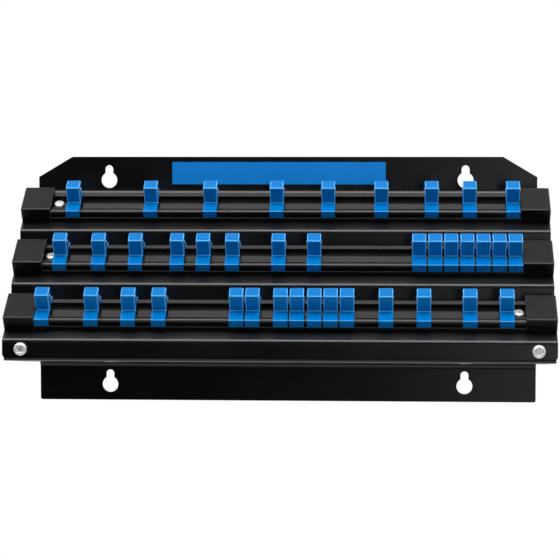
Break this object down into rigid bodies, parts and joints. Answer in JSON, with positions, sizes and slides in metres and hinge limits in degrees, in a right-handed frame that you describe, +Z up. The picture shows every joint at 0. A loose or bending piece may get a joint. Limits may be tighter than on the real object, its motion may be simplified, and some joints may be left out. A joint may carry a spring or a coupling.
{
  "type": "wall-mounted socket rack",
  "caption": "Folded steel wall rack with stepped rails, on which spring-ball clips with square posts slide to hold sockets by their drive.",
  "frame": {"origin": "centre of the four keyholes, on the wall plane", "axes": "+X to the right along the rails, +Y into the wall, +Z up; the posts face the front, -Y, and lean out over it"},
  "size_m": [0.489, 0.1509, 0.2313],
  "materials": {
    "black_coat": "satin black powder coat",
    "rail_black": "satin black anodised",
    "cap_plastic": "satin dark grey moulding",
    "bright_steel": "zinc plated",
    "label_blue": "plain blue",
    "clip_blue": "glossy blue moulding"
  },
  "bodies": {
    "rack": {"end_cap_bottom_left": "cap_plastic", "end_cap_bottom_right": "cap_plastic", "end_cap_middle_left": "cap_plastic", "end_cap_middle_right": "cap_plastic", "end_cap_top_left": "cap_plastic", "end_cap_top_right": "cap_plastic", "label_plate": "label_blue", "lower_bracket": "black_coat", "panel_nuts": "bright_steel", "panel_screws": "bright_steel", "rail_bottom": "rail_black", "rail_middle": "rail_black", "rail_nuts_bottom": "bright_steel", "rail_nuts_middle": "bright_steel", "rail_nuts_top": "bright_steel", "rail_screws_bottom": "bright_steel", "rail_screws_middle": "bright_steel", "rail_screws_top": "bright_steel", "rail_top": "rail_black", "stepped_panel": "black_coat"},
    "clip_top_1": {"clip_top_1": "clip_blue"},
    "clip_top_2": {"clip_top_2": "clip_blue"},
    "clip_top_3": {"clip_top_3": "clip_blue"},
    "clip_top_4": {"clip_top_4": "clip_blue"},
    "clip_top_5": {"clip_top_5": "clip_blue"},
    "clip_top_6": {"clip_top_6": "clip_blue"},
    "clip_top_7": {"clip_top_7": "clip_blue"},
    "clip_top_8": {"clip_top_8": "clip_blue"},
    "clip_top_9": {"clip_top_9": "clip_blue"},
    "clip_middle_1": {"clip_middle_1": "clip_blue"},
    "clip_middle_2": {"clip_middle_2": "clip_blue"},
    "clip_middle_3": {"clip_middle_3": "clip_blue"},
    "clip_middle_4": {"clip_middle_4": "clip_blue"},
    "clip_middle_5": {"clip_middle_5": "clip_blue"},
    "clip_middle_6": {"clip_middle_6": "clip_blue"},
    "clip_middle_7": {"clip_middle_7": "clip_blue"},
    "clip_middle_8": {"clip_middle_8": "clip_blue"},
    "clip_middle_9": {"clip_middle_9": "clip_blue"},
    "clip_middle_10": {"clip_middle_10": "clip_blue"},
    "clip_middle_11": {"clip_middle_11": "clip_blue"},
    "clip_middle_12": {"clip_middle_12": "clip_blue"},
    "clip_middle_13": {"clip_middle_13": "clip_blue"},
    "clip_middle_14": {"clip_middle_14": "clip_blue"},
    "clip_middle_15": {"clip_middle_15": "clip_blue"},
    "clip_bottom_1": {"clip_bottom_1": "clip_blue"},
    "clip_bottom_2": {"clip_bottom_2": "clip_blue"},
    "clip_bottom_3": {"clip_bottom_3": "clip_blue"},
    "clip_bottom_4": {"clip_bottom_4": "clip_blue"},
    "clip_bottom_5": {"clip_bottom_5": "clip_blue"},
    "clip_bottom_6": {"clip_bottom_6": "clip_blue"},
    "clip_bottom_7": {"clip_bottom_7": "clip_blue"},
    "clip_bottom_8": {"clip_bottom_8": "clip_blue"},
    "clip_bottom_9": {"clip_bottom_9": "clip_blue"},
    "clip_bottom_10": {"clip_bottom_10": "clip_blue"},
    "clip_bottom_11": {"clip_bottom_11": "clip_blue"},
    "clip_bottom_12": {"clip_bottom_12": "clip_blue"},
    "clip_bottom_13": {"clip_bottom_13": "clip_blue"},
    "clip_bottom_14": {"clip_bottom_14": "clip_blue"},
    "clip_bottom_15": {"clip_bottom_15": "clip_blue"}
  },
  "joints": [
    {"name": "clip_top_1_slide", "type": "slide", "parent": "rack", "child": "clip_top_1", "axis": [1, 0, 0], "range_m": [-0.01425, 0.0582]},
    {"name": "clip_top_2_slide", "type": "slide", "parent": "rack", "child": "clip_top_2", "axis": [1, 0, 0], "range_m": [-0.0582, 0.0412]},
    {"name": "clip_top_3_slide", "type": "slide", "parent": "rack", "child": "clip_top_3", "axis": [1, 0, 0], "range_m": [-0.0412, 0.0475]},
    {"name": "clip_top_4_slide", "type": "slide", "parent": "rack", "child": "clip_top_4", "axis": [1, 0, 0], "range_m": [-0.0475, 0.0334]},
    {"name": "clip_top_5_slide", "type": "slide", "parent": "rack", "child": "clip_top_5", "axis": [1, 0, 0], "range_m": [-0.0334, 0.0348]},
    {"name": "clip_top_6_slide", "type": "slide", "parent": "rack", "child": "clip_top_6", "axis": [1, 0, 0], "range_m": [-0.0348, 0.032]},
    {"name": "clip_top_7_slide", "type": "slide", "parent": "rack", "child": "clip_top_7", "axis": [1, 0, 0], "range_m": [-0.032, 0.0207]},
    {"name": "clip_top_8_slide", "type": "slide", "parent": "rack", "child": "clip_top_8", "axis": [1, 0, 0], "range_m": [-0.0207, 0.0255]},
    {"name": "clip_top_9_slide", "type": "slide", "parent": "rack", "child": "clip_top_9", "axis": [1, 0, 0], "range_m": [-0.0255, 0.00035]},
    {"name": "clip_middle_1_slide", "type": "slide", "parent": "rack", "child": "clip_middle_1", "axis": [1, 0, 0], "range_m": [-0.00895, 0.0212]},
    {"name": "clip_middle_2_slide", "type": "slide", "parent": "rack", "child": "clip_middle_2", "axis": [1, 0, 0], "range_m": [-0.0212, 0.0194]},
    {"name": "clip_middle_3_slide", "type": "slide", "parent": "rack", "child": "clip_middle_3", "axis": [1, 0, 0], "range_m": [-0.0194, 0.0237]},
    {"name": "clip_middle_4_slide", "type": "slide", "parent": "rack", "child": "clip_middle_4", "axis": [1, 0, 0], "range_m": [-0.0237, 0.0095]},
    {"name": "clip_middle_5_slide", "type": "slide", "parent": "rack", "child": "clip_middle_5", "axis": [1, 0, 0], "range_m": [-0.0095, 0.0123]},
    {"name": "clip_middle_6_slide", "type": "slide", "parent": "rack", "child": "clip_middle_6", "axis": [1, 0, 0], "range_m": [-0.0123, 0.0277]},
    {"name": "clip_middle_7_slide", "type": "slide", "parent": "rack", "child": "clip_middle_7", "axis": [1, 0, 0], "range_m": [-0.0277, 0.0179]},
    {"name": "clip_middle_8_slide", "type": "slide", "parent": "rack", "child": "clip_middle_8", "axis": [1, 0, 0], "range_m": [-0.0179, 0.0805]},
    {"name": "clip_middle_9_slide", "type": "slide", "parent": "rack", "child": "clip_middle_9", "axis": [1, 0, 0], "range_m": [-0.0805, 0.0002]},
    {"name": "clip_middle_10_slide", "type": "slide", "parent": "rack", "child": "clip_middle_10", "axis": [1, 0, 0], "range_m": [-0.0002, 0.0002]},
    {"name": "clip_middle_11_slide", "type": "slide", "parent": "rack", "child": "clip_middle_11", "axis": [1, 0, 0], "range_m": [-0.0002, 0.0002]},
    {"name": "clip_middle_12_slide", "type": "slide", "parent": "rack", "child": "clip_middle_12", "axis": [1, 0, 0], "range_m": [-0.0002, 0.0002]},
    {"name": "clip_middle_13_slide", "type": "slide", "parent": "rack", "child": "clip_middle_13", "axis": [1, 0, 0], "range_m": [-0.0002, 0.0002]},
    {"name": "clip_middle_14_slide", "type": "slide", "parent": "rack", "child": "clip_middle_14", "axis": [1, 0, 0], "range_m": [-0.0002, 0.0002]},
    {"name": "clip_middle_15_slide", "type": "slide", "parent": "rack", "child": "clip_middle_15", "axis": [1, 0, 0], "range_m": [-0.0002, 0.00035]},
    {"name": "clip_bottom_1_slide", "type": "slide", "parent": "rack", "child": "clip_bottom_1", "axis": [1, 0, 0], "range_m": [-0.0002, 0.02965]},
    {"name": "clip_bottom_2_slide", "type": "slide", "parent": "rack", "child": "clip_bottom_2", "axis": [1, 0, 0], "range_m": [-0.02965, 0.0188]},
    {"name": "clip_bottom_3_slide", "type": "slide", "parent": "rack", "child": "clip_bottom_3", "axis": [1, 0, 0], "range_m": [-0.0188, 0.0131]},
    {"name": "clip_bottom_4_slide", "type": "slide", "parent": "rack", "child": "clip_bottom_4", "axis": [1, 0, 0], "range_m": [-0.0131, 0.0546]},
    {"name": "clip_bottom_5_slide", "type": "slide", "parent": "rack", "child": "clip_bottom_5", "axis": [1, 0, 0], "range_m": [-0.0546, 0.0002]},
    {"name": "clip_bottom_6_slide", "type": "slide", "parent": "rack", "child": "clip_bottom_6", "axis": [1, 0, 0], "range_m": [-0.0002, 0.0106]},
    {"name": "clip_bottom_7_slide", "type": "slide", "parent": "rack", "child": "clip_bottom_7", "axis": [1, 0, 0], "range_m": [-0.0106, 0.0002]},
    {"name": "clip_bottom_8_slide", "type": "slide", "parent": "rack", "child": "clip_bottom_8", "axis": [1, 0, 0], "range_m": [-0.0002, 0.0012]},
    {"name": "clip_bottom_9_slide", "type": "slide", "parent": "rack", "child": "clip_bottom_9", "axis": [1, 0, 0], "range_m": [-0.0012, 0.0002]},
    {"name": "clip_bottom_10_slide", "type": "slide", "parent": "rack", "child": "clip_bottom_10", "axis": [1, 0, 0], "range_m": [-0.0002, 0.0002]},
    {"name": "clip_bottom_11_slide", "type": "slide", "parent": "rack", "child": "clip_bottom_11", "axis": [1, 0, 0], "range_m": [-0.0002, 0.0201]},
    {"name": "clip_bottom_12_slide", "type": "slide", "parent": "rack", "child": "clip_bottom_12", "axis": [1, 0, 0], "range_m": [-0.0201, 0.0191]},
    {"name": "clip_bottom_13_slide", "type": "slide", "parent": "rack", "child": "clip_bottom_13", "axis": [1, 0, 0], "range_m": [-0.0191, 0.0263]},
    {"name": "clip_bottom_14_slide", "type": "slide", "parent": "rack", "child": "clip_bottom_14", "axis": [1, 0, 0], "range_m": [-0.0263, 0.0181]},
    {"name": "clip_bottom_15_slide", "type": "slide", "parent": "rack", "child": "clip_bottom_15", "axis": [1, 0, 0], "range_m": [-0.0181, 0.01015]}
  ]
}
